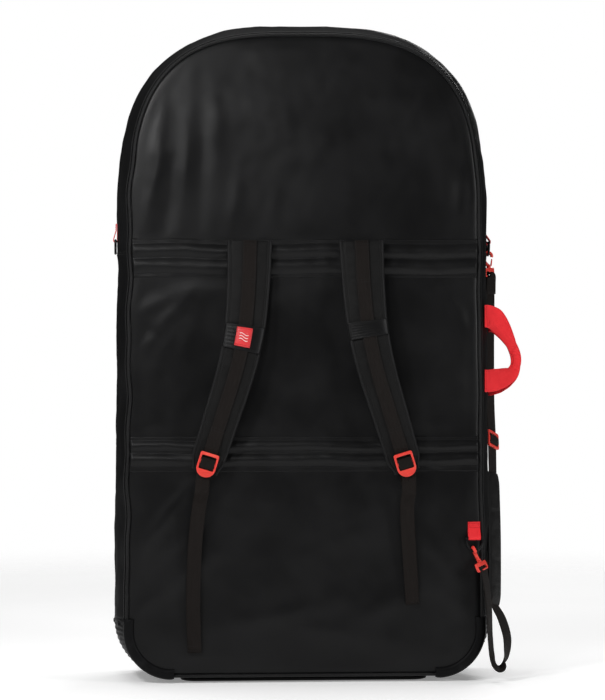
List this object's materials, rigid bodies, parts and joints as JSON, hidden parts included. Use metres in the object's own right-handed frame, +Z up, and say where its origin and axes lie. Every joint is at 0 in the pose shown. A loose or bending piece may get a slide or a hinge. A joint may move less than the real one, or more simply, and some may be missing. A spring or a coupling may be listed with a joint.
{
  "type": "bodyboard bag",
  "caption": "Tall padded travel bag for a bodyboard, with an arched top, a zip-round cover, a padded backpack harness, a side carry handle and a hook-on shoulder strap.",
  "frame": {"origin": "centre of the base pad's underside, where the bag stands", "axes": "+X across the bag to the carry-handle side, +Y towards the zip-round cover (the harness faces -Y), +Z up"},
  "size_m": [0.7338, 0.2491, 1.1709],
  "materials": {
    "black_fabric": "600-denier polyester canvas, coated, soft sheen",
    "band_fabric": "smooth padded nylon, stitched",
    "foam": "closed-cell foam sheet",
    "lining": "thin woven lining",
    "piping": "bias-bound piping",
    "zip_tape": "woven zip tape with moulded coil",
    "rubber": "moulded soft rubber",
    "red_plastic": "moulded acetal, satin",
    "guard_plastic": "moulded polyethylene, textured",
    "ring_metal": "black-coated steel wire",
    "red_webbing": "polypropylene webbing",
    "black_webbing": "polypropylene webbing",
    "label": "moulded soft label, plain"
  },
  "bodies": {
    "bag": {"back_foam": "foam", "back_lining": "lining", "back_panel": "black_fabric", "back_piping": "piping", "base_pad": "black_fabric", "base_strip": "black_fabric", "corner_guard_left": "guard_plastic", "corner_guard_right": "guard_plastic", "d_ring_right_lower": "ring_metal", "d_ring_right_upper": "ring_metal", "gusset_arch": "black_fabric", "gusset_left": "black_fabric", "gusset_right": "black_fabric", "handle_loop_front": "red_webbing", "handle_loop_rear": "red_webbing", "harness_anchor_left": "black_webbing", "harness_anchor_right": "black_webbing", "keeper_left": "red_webbing", "keeper_right_lower": "red_webbing", "keeper_right_upper": "red_webbing", "kick_panel": "black_fabric", "lower_band": "band_fabric", "upper_band": "band_fabric", "zip_tape_bag": "zip_tape"},
    "cover": {"cover_panel": "black_fabric", "cover_foam": "foam", "cover_lining": "lining", "cover_piping": "piping", "cover_wall": "black_fabric", "zip_tape_cover": "zip_tape"},
    "zip_slider_left": {"zip_slider_left": "red_plastic"},
    "zip_slider_right": {"zip_slider_right": "red_plastic"},
    "zip_pull_left": {"zip_pull_left": "rubber"},
    "zip_pull_right": {"zip_pull_right": "rubber"},
    "harness_left": {"harness_pad_left": "band_fabric", "harness_webbing_left": "black_webbing", "harness_wrap_left": "band_fabric", "label_tab": "label"},
    "harness_right": {"harness_pad_right": "band_fabric", "harness_webbing_right": "black_webbing", "harness_wrap_right": "band_fabric"},
    "lock_left": {"ladder_lock_left": "red_plastic", "harness_tail_left": "black_webbing"},
    "lock_right": {"ladder_lock_right": "red_plastic", "harness_tail_right": "black_webbing"},
    "carry_handle": {"handle_grip": "red_webbing"},
    "shoulder_strap": {"hook_upper": "red_plastic", "hook_upper_base": "red_plastic", "hook_lower": "red_plastic", "hook_lower_base": "red_plastic", "strap_webbing_upper": "black_webbing", "shoulder_pad": "black_fabric", "strap_webbing_lower": "black_webbing"},
    "hook_upper_gate": {"hook_upper_gate": "red_plastic"},
    "hook_lower_gate": {"hook_lower_gate": "red_plastic"},
    "tri_glide": {"tri_glide": "red_plastic"},
    "d_ring_left": {"d_ring_left": "ring_metal"}
  },
  "joints": [
    {"name": "cover_hinge", "type": "hinge", "parent": "bag", "child": "cover", "pos_m": [0, 0.0985, 0.1165], "axis": [-1, 0, 0], "range_deg": [0, 90]},
    {"name": "zip_slider_left_slide", "type": "slide", "parent": "bag", "child": "zip_slider_left", "axis": [-1, 0, 0], "range_m": [0, 0.045]},
    {"name": "zip_slider_right_slide", "type": "slide", "parent": "bag", "child": "zip_slider_right", "axis": [1, 0, 0], "range_m": [0, 0.045]},
    {"name": "zip_pull_left_hinge", "type": "hinge", "parent": "zip_slider_left", "child": "zip_pull_left", "pos_m": [-0.0798, 0.0441, 1.16816], "axis": [0, 1, 0], "range_deg": [0, 95]},
    {"name": "zip_pull_right_hinge", "type": "hinge", "parent": "zip_slider_right", "child": "zip_pull_right", "pos_m": [-0.0422, 0.0441, 1.1689], "axis": [0, -1, 0], "range_deg": [0, 95]},
    {"name": "harness_left_swing", "type": "hinge", "parent": "bag", "child": "harness_left", "pos_m": [-0.0985, -0.1115, 0.782], "axis": [-1, 0, 0], "range_deg": [0, 25], "deforming": ["harness_anchor_left"]},
    {"name": "harness_right_swing", "type": "hinge", "parent": "bag", "child": "harness_right", "pos_m": [0.0985, -0.1115, 0.782], "axis": [-1, 0, 0], "range_deg": [0, 25], "deforming": ["harness_anchor_right"]},
    {"name": "ladder_lock_left_tilt", "type": "hinge", "parent": "harness_left", "child": "lock_left", "pos_m": [-0.16933, -0.13515, 0.40642], "axis": [-0.9558, 0, 0.294], "range_deg": [0, 30]},
    {"name": "ladder_lock_right_tilt", "type": "hinge", "parent": "harness_right", "child": "lock_right", "pos_m": [0.16933, -0.13515, 0.40642], "axis": [-0.9558, 0, -0.294], "range_deg": [0, 30]},
    {"name": "handle_swing", "type": "hinge", "parent": "bag", "child": "carry_handle", "pos_m": [0.33, -0.045, 0.59], "axis": [0, 0, 1], "range_deg": [-40, 20], "deforming": ["handle_loop_front", "handle_loop_rear"]},
    {"name": "shoulder_strap_swing", "type": "hinge", "parent": "bag", "child": "shoulder_strap", "pos_m": [0.3003, -0.1081, 0.2322], "axis": [-0.0749, -0.2531, -0.9645], "range_deg": [0, 5]},
    {"name": "hook_upper_gate_hinge", "type": "hinge", "parent": "shoulder_strap", "child": "hook_upper_gate", "pos_m": [0.34696, 0.03, 0.74241], "axis": [0, -1, 0], "range_deg": [0, 25], "stiffness_Nm_per_rad": 0.02, "springref_deg": -11.46},
    {"name": "hook_lower_gate_hinge", "type": "hinge", "parent": "shoulder_strap", "child": "hook_lower_gate", "pos_m": [0.30695, -0.11424, 0.21769], "axis": [-0.9147, -0.0402, -0.4021], "range_deg": [0, 25], "stiffness_Nm_per_rad": 0.02, "springref_deg": -11.46},
    {"name": "tri_glide_slide", "type": "slide", "parent": "shoulder_strap", "child": "tri_glide", "axis": [0, 0.28, 0.96], "range_m": [0, 0.012]},
    {"name": "d_ring_left_swing", "type": "hinge", "parent": "bag", "child": "d_ring_left", "pos_m": [-0.33554, 0, 0.785], "axis": [0, 1, 0], "range_deg": [0, 80]}
  ]
}
